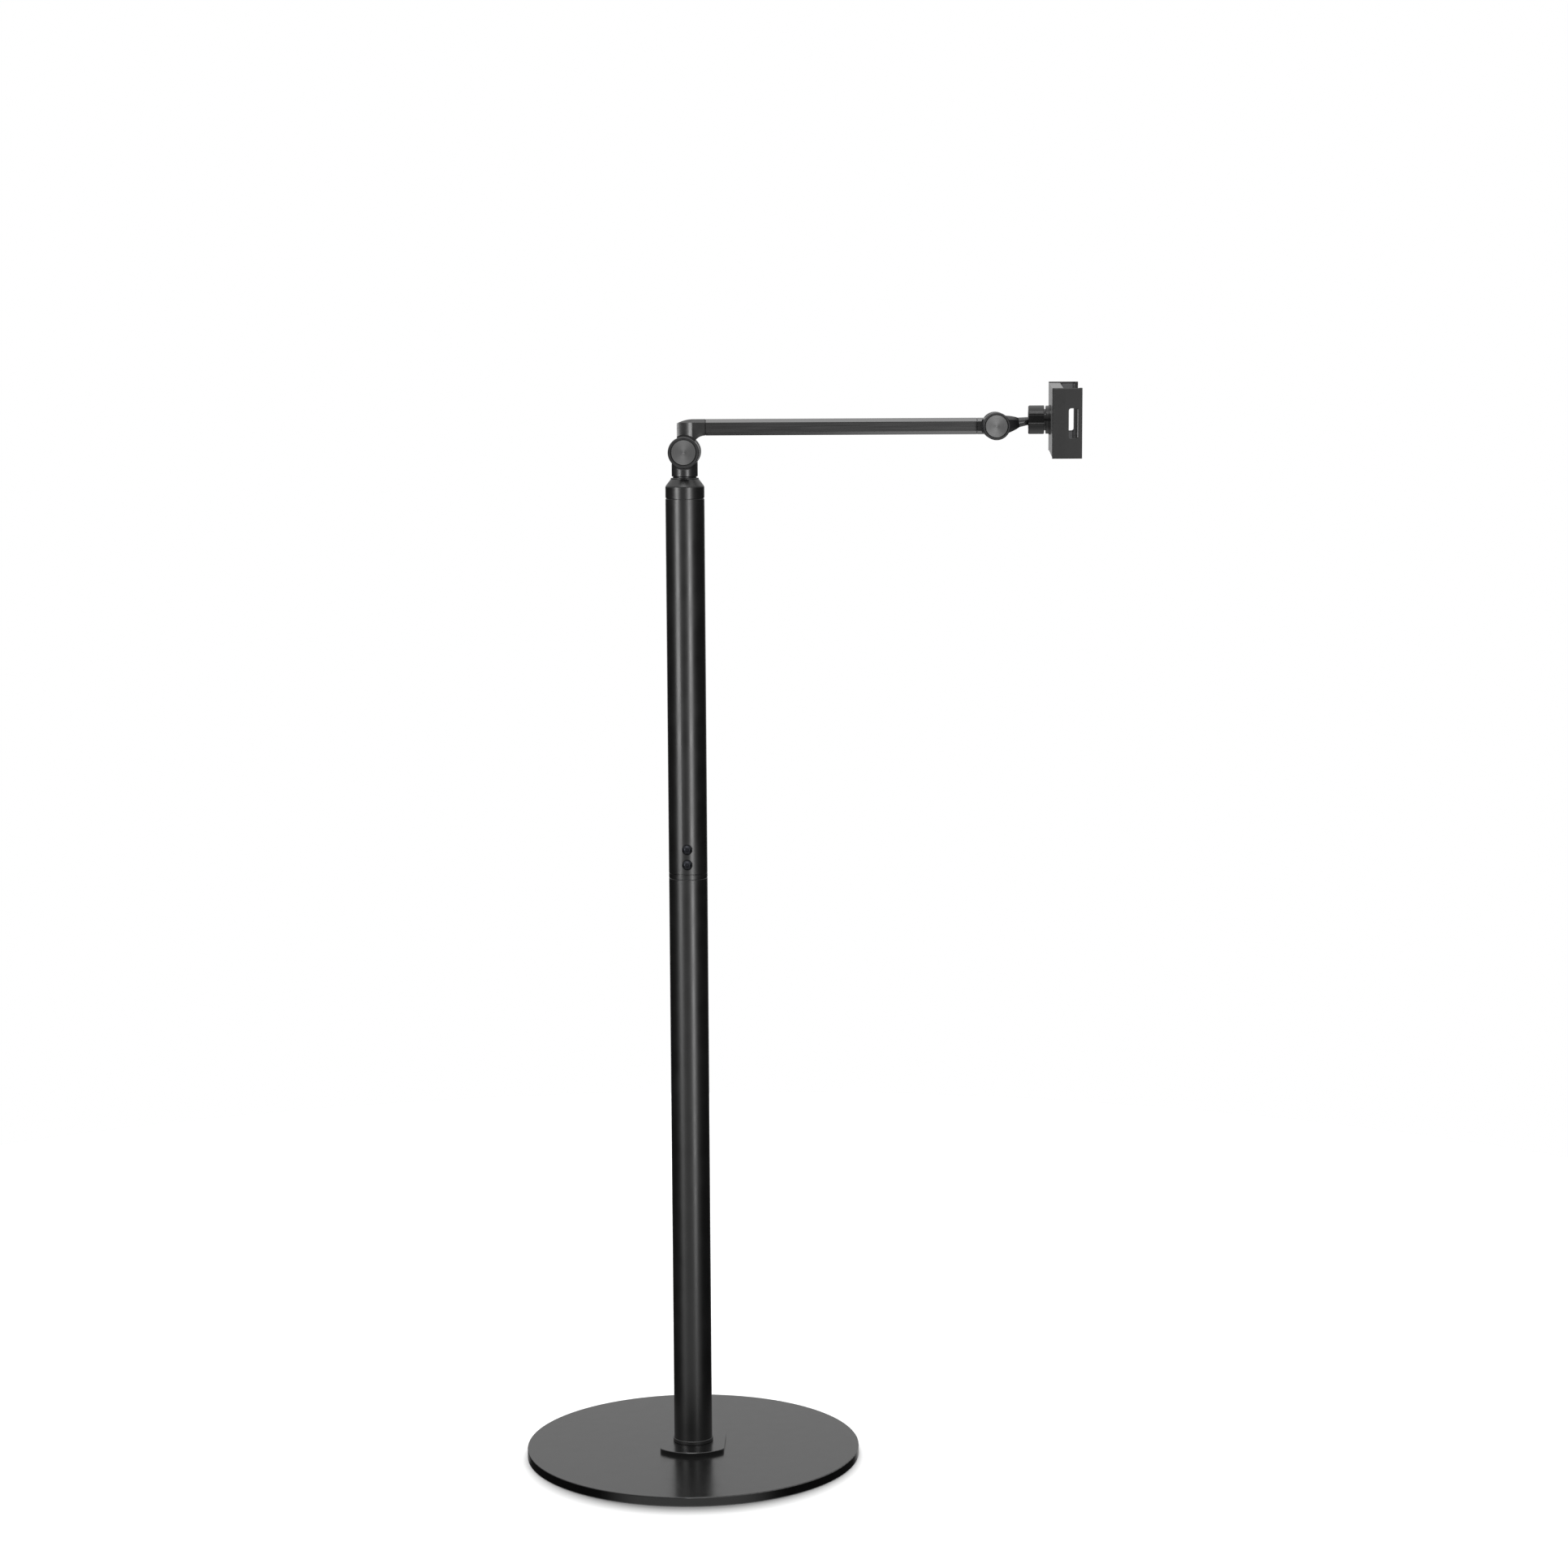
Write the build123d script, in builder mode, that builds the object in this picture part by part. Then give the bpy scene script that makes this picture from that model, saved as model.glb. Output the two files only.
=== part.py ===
from build123d import *
import os
from math import acos, asin, cos, degrees, radians, sin, sqrt

# Adjustable tablet floor stand: a round base, a two-piece pole, a swivelling arm with two hinges,
# and a ball-jointed holder with two sprung jaws.
# Millimetres. The origin is on the floor under the pole, +Z up, the arm runs along +X at rest,
# and the hinge caps in front face -Y.

# Clearances and overruns
running_gap = 0.05      # radial, round a turning pin
fit_gap = 0.05          # radial, round fixed screws and spigots
face_gap = 0.1          # between flat faces that turn or slide on each other
slide_gap = 0.3         # round pieces that slide or swing past each other
cut_over = 1.0          # how far a cut runs past the face that it opens
edge_break = 0.4        # small chamfer on turned and machined edges

# Base
base_dia = 350.0
base_top = 10.0         # height of the plate's top face over the floor
base_edge_round = 1.0
mat_thickness = 1.5
mat_proud = 0.5         # how far the mat stands out under the plate
mat_margin = 7.0

# Flange on the base
flange_length = 91.0
flange_width = 67.0
flange_thickness = 4.2
flange_corner = 8.0
flange_edge = 0.5
base_screw_dia = 5.0
base_screw_head = 10.0
base_screw_head_height = 2.6
base_screw_key = 3.0
base_screw_key_depth = 1.6
base_screw_pitch_x = 46.0
base_screw_pitch_y = 54.0
flange_skin = 1.2       # metal left over the blind threaded holes

# Pole
pole_dia = 40.0
tube_wall = 2.0
foot_ring_wall = 1.0
foot_ring_height = 4.0
joint_height = 618.5    # middle of the ring between the tubes
joint_band = 3.7
joint_groove = 0.8
joint_groove_depth = 0.8
sleeve_wall = 3.0
sleeve_reach_down = 50.0
sleeve_reach_up = 60.0
coupler_screw_dia = 6.0
coupler_screw_head = 10.5
coupler_screw_head_height = 3.3
coupler_screw_length = 8.0
coupler_screw_key = 4.0
coupler_screw_key_depth = 2.0
coupler_screw_rise = 10.4   # lower screw over the upper tube's end
coupler_screw_pitch = 15.8
upper_tube_length = 386.4

# Shoulder cap and swivel
cap_band = 12.6         # straight part of the cap over the tube
cap_cone_height = 7.4
cap_cone_dia = 28.8
cap_shoulder_round = 4.0
cap_seam = 1.0          # groove between the tube and the cap
cap_spigot_length = 16.0
cap_bore_dia = 24.0
cap_ceiling = 5.0       # metal between the bore and the shoulder's flat top
swivel_ring_height = 1.2
swivel_bush_dia = 24.2
swivel_bush_height = 1.5
swivel_bolt_dia = 10.0
swivel_bolt_head = 17.0
swivel_bolt_head_height = 6.0
swivel_bolt_key = 8.0
swivel_bolt_key_depth = 4.0
swivel_bolt_grip = 6.0  # thread inside the yoke
disc_thickness = 0.8    # cone springs
disc_cone = 0.4

# Arm and both hinges
neck_dia = 26.8
arm_hinge_height = 24.8     # axis over the yoke's foot
arm_rise = 25.0             # arm's centre line over the first hinge
arm_width = 17.0
arm_height = 16.6
arm_corner = 3.4
arm_wall = 2.0
elbow_reach = 21.4          # elbow's end from the first hinge
elbow_end = 7.3             # elbow's flat end, on the other side of the first hinge
elbow_swell = 1.5           # how far its boss bulges past the arm's sides
elbow_drop = 4.0            # how far its top falls at that end
elbow_drop_run = 16.5
tube_start_gap = 0.4
wrist_reach = 317.5         # second hinge from the first
arm_end_length = 19.2       # from the end fitting's seam to the second hinge
tenon_length = 24.0
grub_dia = 4.0
grub_key = 2.0
grub_key_depth = 1.5
grub_inset = 12.0           # grub screws from the tube's ends
grub_bite = 2.5             # how far they go into the tenons
bush_wall = 1.5
barrel_length = 50.0
arm_cheek_dia = 32.0
wrist_cheek_dia = 28.0
arm_cap_dia = 25.2
wrist_cap_dia = 22.6
cap_groove = 0.8            # dark groove between a cap and its ring
cap_seat_depth = 2.0
cap_proud = 0.3
cap_bevel = 0.35
cap_dish = 0.35
cap_lug_height = 0.7
cap_lug_wall = 1.4
pocket_dia = 15.6           # round pockets for bolt head and nut
barrel_edge = 0.8
hinge_bolt_dia = 8.0
hinge_bolt_head = 13.0
hinge_bolt_head_height = 5.5
hinge_bolt_key = 5.0
hinge_bolt_key_depth = 2.5
hinge_nut_flats = 13.0
hinge_nut_height = 6.5
hinge_bolt_proud = 0.4
hinge_disc_dia = 15.0
friction_washer_thickness = 0.5
friction_washer_dia = 23.0
knuckle_inset = 0.6         # knuckle's radius under the cheeks' radius
wrist_knuckle_width = 13.0
saddle_gap = 1.6            # hollow of the arm's end, round the cheeks
yoke_slot_floor = 0.6       # under the knuckle
yoke_swing_room = 11.9      # slot's depth under the hinge on the side that the raised arm leans to
neck_junction_round = 2.5

# Wrist shank and ball
ball_reach = 41.0           # ball's centre from the second hinge, along X
ball_rise = 6.0             # and along Z
ball_dia = 16.0
stud_neck_dia = 9.9          # where the neck leaves the shank
stud_root_dia = 8.0          # where it meets the ball
stud_thread_dia = 6.0
stud_thread_length = 8.0
shank_start = 8.0
shank_start_height = 18.4
shank_start_width = 36.0
shank_start_corner = 4.0
shank_swell = 17.5          # where the shank swells before its end
shank_swell_height = 14.4
shank_swell_width = 23.0
shank_swell_corner = 3.4
shank_end = 23.8
shank_end_size = 9.4
shank_end_corner = 2.8
fork_slot_floor = 0.8       # between the arm's knuckle and the shank

# Ball joint's liners, nut and socket
liner_thickness = 1.1
liner_gap = 0.1
collar_rear_angle = 57.0    # from the ball's rear pole
collar_front_angle = 79.0
cup_rear_angle = 102.0
cup_hole_dia = 5.0
spigot_wall = 1.6
spigot_setback = 0.6        # spigot's rear end before the ball's centre
nut_rear = 8.0              # nut's rear face behind the ball's centre
nut_length = 15.9
nut_dia = 30.5
nut_valley_depth = 2.6
nut_valley_width = 10.7
nut_valley_round = 2.2
nut_lobes = 4
nut_valley_turn = -6.0
nut_edge = 0.9
nut_seat_lead = 0.2         # nut's seat ends this far past the ball's centre
nut_mouth_angle = 59.0
nut_mouth_dia = 19.2
socket_gap = 1.6            # daylight between nut and socket
socket_body_dia = 28.6
socket_lip_dia = 30.4
socket_lip_length = 2.0
socket_length = 5.0
socket_boss_dia = 15.0
socket_screw_dia = 2.5
socket_screw_head = 5.0
socket_screw_head_height = 1.3
socket_screw_length = 6.0
socket_screw_circle = 22.0
socket_screw_count = 4
socket_screw_key = 1.5
socket_screw_key_depth = 0.8

# Holder shell and cover
shell_length = 116.0
shell_height = 68.5
shell_depth = 9.0
shell_wall = 2.5
shell_corner = 1.0
cover_thickness = 2.8
face_pad_thickness = 1.2
face_pad_margin = 5.0
face_pad_corner = 3.0
post_dia = 5.0
post_inset_y = 8.0
post_inset_z = 6.2
cover_screw_dia = 2.2
cover_screw_head = 4.2
cover_screw_head_height = 1.1
cover_screw_length = 7.0
cover_screw_key = 1.3
cover_screw_key_depth = 0.7
centre_rib = 7.0
rail_thickness = 1.2

# Jaws
jaw_height = 70.5
jaw_depth = 30.0
jaw_wall = 3.0
jaw_rest_gap = 0.4          # jaw's wall and the shell's end, when shut
jaw_crease = 12.9           # from the jaw's rear edge
jaw_lean = 0.4              # how far the front of the wall leans in
jaw_lip_reach = 5.0
jaw_lip_thickness = 3.0
jaw_lip_bevel = 1.2
jaw_round = 1.8
slot_width = 9.4
slot_height = 30.3
slot_corner = 2.4
slot_from_front = 4.1       # front edge of the slot from the jaw's front
tongue_thickness = 3.6
tongue_height = 20.5
tongue_notch_length = 9.0
tongue_notch_height = 8.0
tongue_notch_skin = 1.2
pad_thickness = 1.2
pad_margin = 2.0
pad_lip_margin = 1.0
pad_slot_margin = 0.6
pad_start_gap = 0.6         # pad's rear edge before the face pad

# Springs of the jaws
spring_dia = 5.0
spring_wire = 0.8
spring_core_dia = 3.2
spring_bar = 1.0            # eyes' thickness, and the bar across each end of the coils
spring_eye_gap = 0.15
peg_dia = 2.4
peg_length = 3.2
peg_inset = 3.5             # peg from the tongue's end
post_from_end = 7.0         # spring's fixed post from the shell's end
spring_span = 24.9          # between a spring's two eyes, when shut
spring_lead = 4.0           # from an eye's centre to the first coil

# Holder's attitude in the photographed pose
holder_roll = 2.6           # far end up
holder_yaw = -1.4           # far end forward

# Heights and places that follow
plate_bottom = mat_proud
flange_top = base_top + flange_thickness
lower_tube_top = joint_height - joint_band / 2 - joint_groove
upper_tube_bottom = joint_height + joint_band / 2 + joint_groove
upper_tube_top = upper_tube_bottom + upper_tube_length
cap_top = upper_tube_top + cap_band + cap_cone_height
ring_top = cap_top + swivel_ring_height
yoke_foot = ring_top + swivel_bush_height
arm_axis = yoke_foot + arm_hinge_height
arm_centre = arm_axis + arm_rise
tube_inner_dia = pole_dia - 2 * tube_wall
sleeve_dia = tube_inner_dia - 2 * fit_gap

arm_hinge = Vector(0, 0, arm_axis)
wrist_hinge = Vector(wrist_reach, 0, arm_centre)
ball_centre = wrist_hinge + Vector(ball_reach, 0, ball_rise)
stud_axis = (ball_centre - wrist_hinge).normalized()
stud_length = (ball_centre - wrist_hinge).length

liner_inner = ball_dia / 2 + liner_gap
liner_outer = liner_inner + liner_thickness
socket_sphere = liner_outer + liner_gap
spigot_radius = socket_sphere + spigot_wall
nut_front = nut_length - nut_rear
socket_rear = nut_front + socket_gap
shell_rear = socket_rear + socket_length
cavity_rear = shell_rear + shell_wall
cover_rear = shell_rear + shell_depth
pad_rear = cover_rear + cover_thickness
pad_front = pad_rear + face_pad_thickness
jaw_front = shell_rear + jaw_depth
shell_end = shell_length / 2
jaw_inner = shell_end + jaw_rest_gap
jaw_outer = jaw_inner + jaw_wall
tongue_front = cover_rear - slide_gap
tongue_rear = tongue_front - tongue_thickness
tongue_low = centre_rib / 2 + slide_gap
tongue_high = tongue_low + tongue_height
tongue_middle = (tongue_low + tongue_high) / 2
post_place = shell_end - post_from_end
peg_place = post_place - spring_span
tongue_end = peg_place + peg_inset
spring_axis_x = (cavity_rear + cover_rear) / 2

yaw_turn = Location((0, 0, 0), (0, 0, holder_yaw))
roll_turn = Location((0, 0, 0), (holder_roll, 0, 0))
holder_pose = Location(ball_centre) * yaw_turn * roll_turn


def facing(centre, outward):
    """A plane at a hinge's centre that looks out of one end of its barrel."""
    return Plane(origin=centre, x_dir=(1, 0, 0), z_dir=(0, outward, 0))


def along_stud(distance):
    """A plane square to the ball stud, at a distance from the second hinge."""
    return Plane(origin=wrist_hinge + stud_axis * distance, x_dir=(0, 1, 0), z_dir=stud_axis)


def on_circle(radius, angle):
    """A point on a circle round the ball, by its angle from the ball's rear pole."""
    return (-radius * cos(radians(angle)), radius * sin(radians(angle)))


def socket_screw(dia, head_dia, head_height, length, key, key_depth, sunk=True):
    """A hexagon-socket screw that points down, its head sunk under the XY plane or domed over it."""
    top = 0 if sunk else head_height
    with BuildPart() as screw:
        with BuildSketch(Plane.XZ):
            with BuildLine():
                if sunk:
                    Polyline((0, top), (head_dia / 2, 0), (dia / 2, -head_height))
                    Line((dia / 2, -head_height), (dia / 2, -length))
                else:
                    Line((0, top), (key / 2 + edge_break, top))
                    RadiusArc((key / 2 + edge_break, top), (head_dia / 2, edge_break), head_dia / 2)
                    Polyline((head_dia / 2, edge_break), (head_dia / 2, 0), (dia / 2, 0))
                    Line((dia / 2, 0), (dia / 2, -length))
                Polyline((dia / 2, -length), (0, -length), (0, top))
            make_face()
        revolve(axis=Axis.Z)
        with BuildSketch(Plane.XY.offset(top)):
            RegularPolygon(key / 2, 6, major_radius=False)
        extrude(amount=-key_depth, mode=Mode.SUBTRACT)
    return screw.part


def sunk_seat(dia, head_dia, head_height, depth):
    """The room for a countersunk screw that points down, with its clearance, open over its head."""
    head_radius = head_dia / 2 + fit_gap
    shank_radius = dia / 2 + fit_gap
    with BuildPart() as seat:
        with BuildSketch(Plane.XZ):
            Polygon(
                (0, cut_over), (head_radius, cut_over), (head_radius, 0), (shank_radius, -head_height),
                (shank_radius, -depth), (0, -depth), align=None,
            )
        revolve(axis=Axis.Z)
    return seat.part


def grub(dia, length, key, key_depth):
    """A set screw whose driven end is at the XY plane; it points down."""
    with BuildPart() as screw:
        with BuildSketch():
            Circle(dia / 2)
        extrude(amount=-length)
        with BuildSketch():
            RegularPolygon(key / 2, 6, major_radius=False)
        extrude(amount=-key_depth, mode=Mode.SUBTRACT)
    return screw.part


def turned_ring(inner_radius, outer_radius, low, high):
    """A turned ring about Z between two heights, with its outer edges broken."""
    with BuildPart() as ring:
        with BuildSketch(Plane.XY.offset(low)):
            Circle(outer_radius)
        extrude(amount=high - low)
        chamfer(ring.edges().filter_by(GeomType.CIRCLE), edge_break)
        with BuildSketch(Plane.XY.offset(low)):
            Circle(inner_radius)
        extrude(amount=high - low, mode=Mode.SUBTRACT)
    return ring


# Floor mat and base plate
mat_dia = base_dia - 2 * mat_margin
base_screw_depth = flange_top - flange_skin - mat_thickness
base_screw = socket_screw(
    base_screw_dia, base_screw_head, base_screw_head_height, base_screw_depth - face_gap,
    base_screw_key, base_screw_key_depth,
)
base_screw_seat = sunk_seat(base_screw_dia, base_screw_head, base_screw_head_height, base_screw_depth)
under_base = [
    Location((0, 0, mat_thickness)) * spot * Location((0, 0, 0), (180, 0, 0))
    for spot in GridLocations(base_screw_pitch_x, base_screw_pitch_y, 2, 2).locations
]

with BuildPart() as floor_mat:
    with BuildSketch():
        Circle(mat_dia / 2)
    extrude(amount=mat_thickness)

with BuildPart() as base_plate:
    with BuildSketch(Plane.XY.offset(plate_bottom)):
        Circle(base_dia / 2)
    extrude(amount=base_top - plate_bottom)
    fillet(base_plate.edges().group_by(Axis.Z)[-1], base_edge_round)
    chamfer(base_plate.edges().group_by(Axis.Z)[0], edge_break)
    with BuildSketch(Plane.XY.offset(plate_bottom)):
        Circle(mat_dia / 2 + slide_gap)
    extrude(amount=mat_thickness - mat_proud, mode=Mode.SUBTRACT)
    with Locations(*under_base):
        add(base_screw_seat, mode=Mode.SUBTRACT)

with BuildPart() as base_screws:
    with Locations(*under_base):
        add(base_screw)


# Flange and foot ring
with BuildPart() as pole_flange:
    with BuildSketch(Plane.XY.offset(base_top)) as flange_outline:
        Circle(flange_length / 2)
        Rectangle(flange_width, flange_length, mode=Mode.INTERSECT)
        fillet(flange_outline.vertices(), flange_corner)
    extrude(amount=flange_thickness)
    chamfer(pole_flange.faces().sort_by(Axis.Z)[-1].edges(), flange_edge)
    with Locations(*under_base):
        add(base_screw_seat, mode=Mode.SUBTRACT)

foot_ring = turned_ring(
    pole_dia / 2 + fit_gap, pole_dia / 2 + foot_ring_wall, flange_top, flange_top + foot_ring_height
)


# Pole tubes, their sleeve and the ring between them
screw_seat = sqrt((pole_dia / 2) ** 2 - (coupler_screw_head / 2) ** 2)
coupler_screw_low = upper_tube_bottom + coupler_screw_rise
coupler_spots = [
    Location((0, -screw_seat, height), (90, 0, 0))
    for height in (coupler_screw_low, coupler_screw_low + coupler_screw_pitch)
]
coupler_screw = socket_screw(
    coupler_screw_dia, coupler_screw_head, coupler_screw_head_height, coupler_screw_length,
    coupler_screw_key, coupler_screw_key_depth, sunk=False,
)
lower_tube = turned_ring(tube_inner_dia / 2, pole_dia / 2, flange_top, lower_tube_top)
plain_sleeve = turned_ring(
    sleeve_dia / 2 - sleeve_wall, sleeve_dia / 2,
    lower_tube_top - sleeve_reach_down, upper_tube_bottom + sleeve_reach_up,
)
plain_upper_tube = turned_ring(tube_inner_dia / 2, pole_dia / 2, upper_tube_bottom, upper_tube_top)

with BuildPart() as coupler_sleeve:
    add(plain_sleeve.part)
    with Locations(*coupler_spots):
        Hole(coupler_screw_dia / 2 + fit_gap, depth=screw_seat)

with BuildPart() as joint_ring:
    with BuildSketch(Plane.XY.offset(lower_tube_top)):
        Circle(pole_dia / 2 - joint_groove_depth)
    extrude(amount=upper_tube_bottom - lower_tube_top)
    with BuildSketch(Plane.XY.offset(lower_tube_top + joint_groove)):
        Circle(pole_dia / 2)
    extrude(amount=joint_band)
    with BuildSketch(Plane.XY.offset(lower_tube_top)):
        Circle(sleeve_dia / 2 + fit_gap)
    extrude(amount=upper_tube_bottom - lower_tube_top, mode=Mode.SUBTRACT)

with BuildPart() as coupler_screws:
    with Locations(*coupler_spots):
        add(coupler_screw)

with BuildPart() as upper_tube:
    add(plain_upper_tube.part)
    with Locations(*coupler_spots):
        Hole(coupler_screw_dia / 2 + fit_gap, depth=screw_seat)
        Cylinder(
            coupler_screw_head / 2 + slide_gap, pole_dia / 2 - screw_seat + cut_over,
            align=(Align.CENTER, Align.CENTER, Align.MIN), mode=Mode.SUBTRACT,
        )


# Shoulder cap and the swivel's rings
cap_spigot_low = upper_tube_top - cap_spigot_length
cap_ceiling_height = cap_top - cap_ceiling
seam_radius = pole_dia / 2 - joint_groove_depth
with BuildPart() as shoulder_cap:
    with BuildSketch(Plane.XZ):
        with BuildLine():
            Polyline(
                (0, cap_spigot_low), (sleeve_dia / 2, cap_spigot_low), (sleeve_dia / 2, upper_tube_top),
                (seam_radius, upper_tube_top), (seam_radius, upper_tube_top + cap_seam),
                (pole_dia / 2, upper_tube_top + cap_seam), (pole_dia / 2, upper_tube_top + cap_band),
                (cap_cone_dia / 2, cap_top), (0, cap_top), (0, cap_spigot_low),
            )
        make_face()
    revolve(axis=Axis.Z)
    fillet(shoulder_cap.edges().filter_by(GeomType.CIRCLE).group_by(Axis.Z)[-2], cap_shoulder_round)
    with BuildSketch(Plane.XY.offset(cap_spigot_low)):
        Circle(cap_bore_dia / 2)
    extrude(amount=cap_ceiling_height - cap_spigot_low, mode=Mode.SUBTRACT)
    with BuildSketch(Plane.XY.offset(cap_ceiling_height)):
        Circle(swivel_bolt_dia / 2 + running_gap)
    extrude(amount=cap_ceiling, mode=Mode.SUBTRACT)

swivel_ring = turned_ring(swivel_bolt_dia / 2 + running_gap, cap_cone_dia / 2, cap_top, ring_top)
swivel_bush = turned_ring(
    swivel_bolt_dia / 2 + running_gap, swivel_bush_dia / 2, ring_top, yoke_foot - face_gap
)


def cone_spring(inner_radius, outer_radius, plane):
    """A cone spring: its rim rests on the plane, and its eye stands off it along the normal."""
    with BuildPart() as spring:
        with BuildSketch(Plane.XZ):
            Polygon(
                (outer_radius, 0), (outer_radius, disc_thickness),
                (inner_radius, disc_cone + disc_thickness), (inner_radius, disc_cone), align=None,
            )
        revolve(axis=Axis.Z)
    with BuildPart() as placed:
        with Locations(plane):
            add(spring.part)
    return placed


disc_height = disc_thickness + disc_cone
swivel_head_top = cap_ceiling_height - face_gap - disc_height
swivel_disc_spring = cone_spring(
    swivel_bolt_dia / 2 + fit_gap, swivel_bolt_head / 2,
    Plane(origin=(0, 0, cap_ceiling_height - face_gap), x_dir=(1, 0, 0), z_dir=(0, 0, -1)),
)

with BuildPart() as swivel_bolt:
    with BuildSketch(Plane.XY.offset(swivel_head_top)):
        Circle(swivel_bolt_head / 2)
    extrude(amount=-swivel_bolt_head_height)
    chamfer(swivel_bolt.edges().group_by(Axis.Z)[0], edge_break)
    with BuildSketch(Plane.XY.offset(swivel_head_top)):
        Circle(swivel_bolt_dia / 2)
    extrude(amount=yoke_foot + swivel_bolt_grip - swivel_head_top)
    with BuildSketch(Plane.XY.offset(swivel_head_top - swivel_bolt_head_height)):
        RegularPolygon(swivel_bolt_key / 2, 6, major_radius=False)
    extrude(amount=swivel_bolt_key_depth, mode=Mode.SUBTRACT)


# Hinge sizes shared by both hinges
barrel_half = barrel_length / 2
cap_seat = barrel_half - cap_seat_depth
cap_face = barrel_half + cap_proud
pocket_top = cap_seat - cap_lug_height
head_floor = pocket_top - hinge_bolt_head_height
nut_floor = pocket_top - hinge_bolt_proud - hinge_nut_height - disc_height
bolt_end = nut_floor + disc_height + hinge_nut_height + hinge_bolt_proud


def knuckle_side(knuckle_width):
    """From a hinge's centre to the inner face of a cheek."""
    return knuckle_width / 2 + face_gap + friction_washer_thickness


def hinge_bolt(centre):
    """A shoulder bolt through a hinge, with its head in front."""
    front = facing(centre, -1)
    with BuildPart() as bolt:
        with BuildSketch(front.offset(head_floor)):
            Circle(hinge_bolt_head / 2)
        extrude(amount=hinge_bolt_head_height)
        chamfer(bolt.edges().group_by(Axis.Y)[0], edge_break)
        with BuildSketch(front.offset(-bolt_end)):
            Circle(hinge_bolt_dia / 2)
        extrude(amount=bolt_end + head_floor)
        with BuildSketch(front.offset(head_floor + hinge_bolt_head_height)):
            RegularPolygon(hinge_bolt_key / 2, 6, major_radius=False)
        extrude(amount=-hinge_bolt_key_depth, mode=Mode.SUBTRACT)
    return bolt


def hinge_nut(centre):
    """The bolt's nut, in the rear cheek, on its cone spring."""
    with BuildPart() as nut:
        with BuildSketch(facing(centre, 1).offset(nut_floor + disc_height)):
            RegularPolygon(hinge_nut_flats / 2, 6, major_radius=False)
            Circle(hinge_bolt_dia / 2 + fit_gap, mode=Mode.SUBTRACT)
        extrude(amount=hinge_nut_height)
    return nut


def hinge_washers(centre, knuckle_width):
    """A friction washer on each side of the knuckle."""
    with BuildPart() as washers:
        for outward in (-1, 1):
            with BuildSketch(facing(centre, outward).offset(knuckle_width / 2 + face_gap)):
                Circle(friction_washer_dia / 2)
                Circle(hinge_bolt_dia / 2 + fit_gap, mode=Mode.SUBTRACT)
            extrude(amount=friction_washer_thickness)
    return washers


def hinge_cap(centre, outward, cap_dia):
    """A turned cover disc: bevelled rim, dished face, and a lug ring that centres it in the pocket."""
    radius = cap_dia / 2
    lug_radius = pocket_dia / 2 - fit_gap
    with BuildPart() as turned:
        with BuildSketch(Plane.XZ):
            Polygon(
                (0, cap_seat), (lug_radius - cap_lug_wall, cap_seat),
                (lug_radius - cap_lug_wall, pocket_top), (lug_radius, pocket_top),
                (lug_radius, cap_seat), (radius, cap_seat), (radius, cap_face - cap_bevel),
                (radius - cap_bevel, cap_face), (0, cap_face - cap_dish), align=None,
            )
        revolve(axis=Axis.Z)
    with BuildPart() as cap:
        with Locations(facing(centre, outward)):
            add(turned.part)
    return cap


def cut_hinge(centre, cap_dia, knuckle_width, slot_radius, *slot_boxes):
    """What is cut from a fork: bolt bore, pockets, cap seats, and the slot between the cheeks.

    The slot is round, with boxes added, each given by two opposite corners in the hinge's X and Z."""
    inner = knuckle_side(knuckle_width)
    with BuildPart() as room:
        with BuildSketch(facing(centre, -1)):
            Circle(hinge_bolt_dia / 2 + fit_gap)
        extrude(amount=barrel_half, both=True)
        for outward, floor in ((-1, head_floor), (1, nut_floor)):
            side = facing(centre, outward)
            with BuildSketch(side.offset(floor)):
                Circle(pocket_dia / 2)
            extrude(amount=barrel_half - floor)
            with BuildSketch(side.offset(cap_seat)):
                Circle(cap_dia / 2 + cap_groove)
            extrude(amount=cap_seat_depth + cut_over)
        with BuildSketch(facing(centre, -1)):
            Circle(slot_radius)
            for (left, low), (right, high) in slot_boxes:
                with Locations((left, low)):
                    Rectangle(right - left, high - low, align=Align.MIN)
        extrude(amount=inner, both=True)
    return room.part


# Yoke: neck and two cheeks
elbow_width = arm_width
arm_knuckle_radius = arm_cheek_dia / 2 - knuckle_inset
yoke_room = cut_hinge(
    arm_hinge, arm_cap_dia, elbow_width, arm_knuckle_radius + yoke_slot_floor,
    ((-arm_cheek_dia, -yoke_swing_room), (0, arm_cheek_dia)), ((0, 0), (arm_cheek_dia, arm_cheek_dia)),
)

with BuildPart() as yoke:
    with BuildSketch(Plane.XY.offset(yoke_foot)):
        Circle(neck_dia / 2)
    extrude(amount=arm_hinge_height)
    with BuildSketch(facing(arm_hinge, -1)):
        Circle(arm_cheek_dia / 2)
    extrude(amount=barrel_half, both=True)
    fillet(yoke.edges().filter_by(GeomType.BSPLINE), neck_junction_round)
    chamfer(yoke.edges().group_by(Axis.Y)[0] + yoke.edges().group_by(Axis.Y)[-1], barrel_edge)
    chamfer(yoke.edges().group_by(Axis.Z)[0], edge_break)
    add(yoke_room, mode=Mode.SUBTRACT)
    with BuildSketch(Plane.XY.offset(yoke_foot)):
        Circle(swivel_bolt_dia / 2 + fit_gap)
    extrude(amount=swivel_bolt_grip + face_gap, mode=Mode.SUBTRACT)

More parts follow.
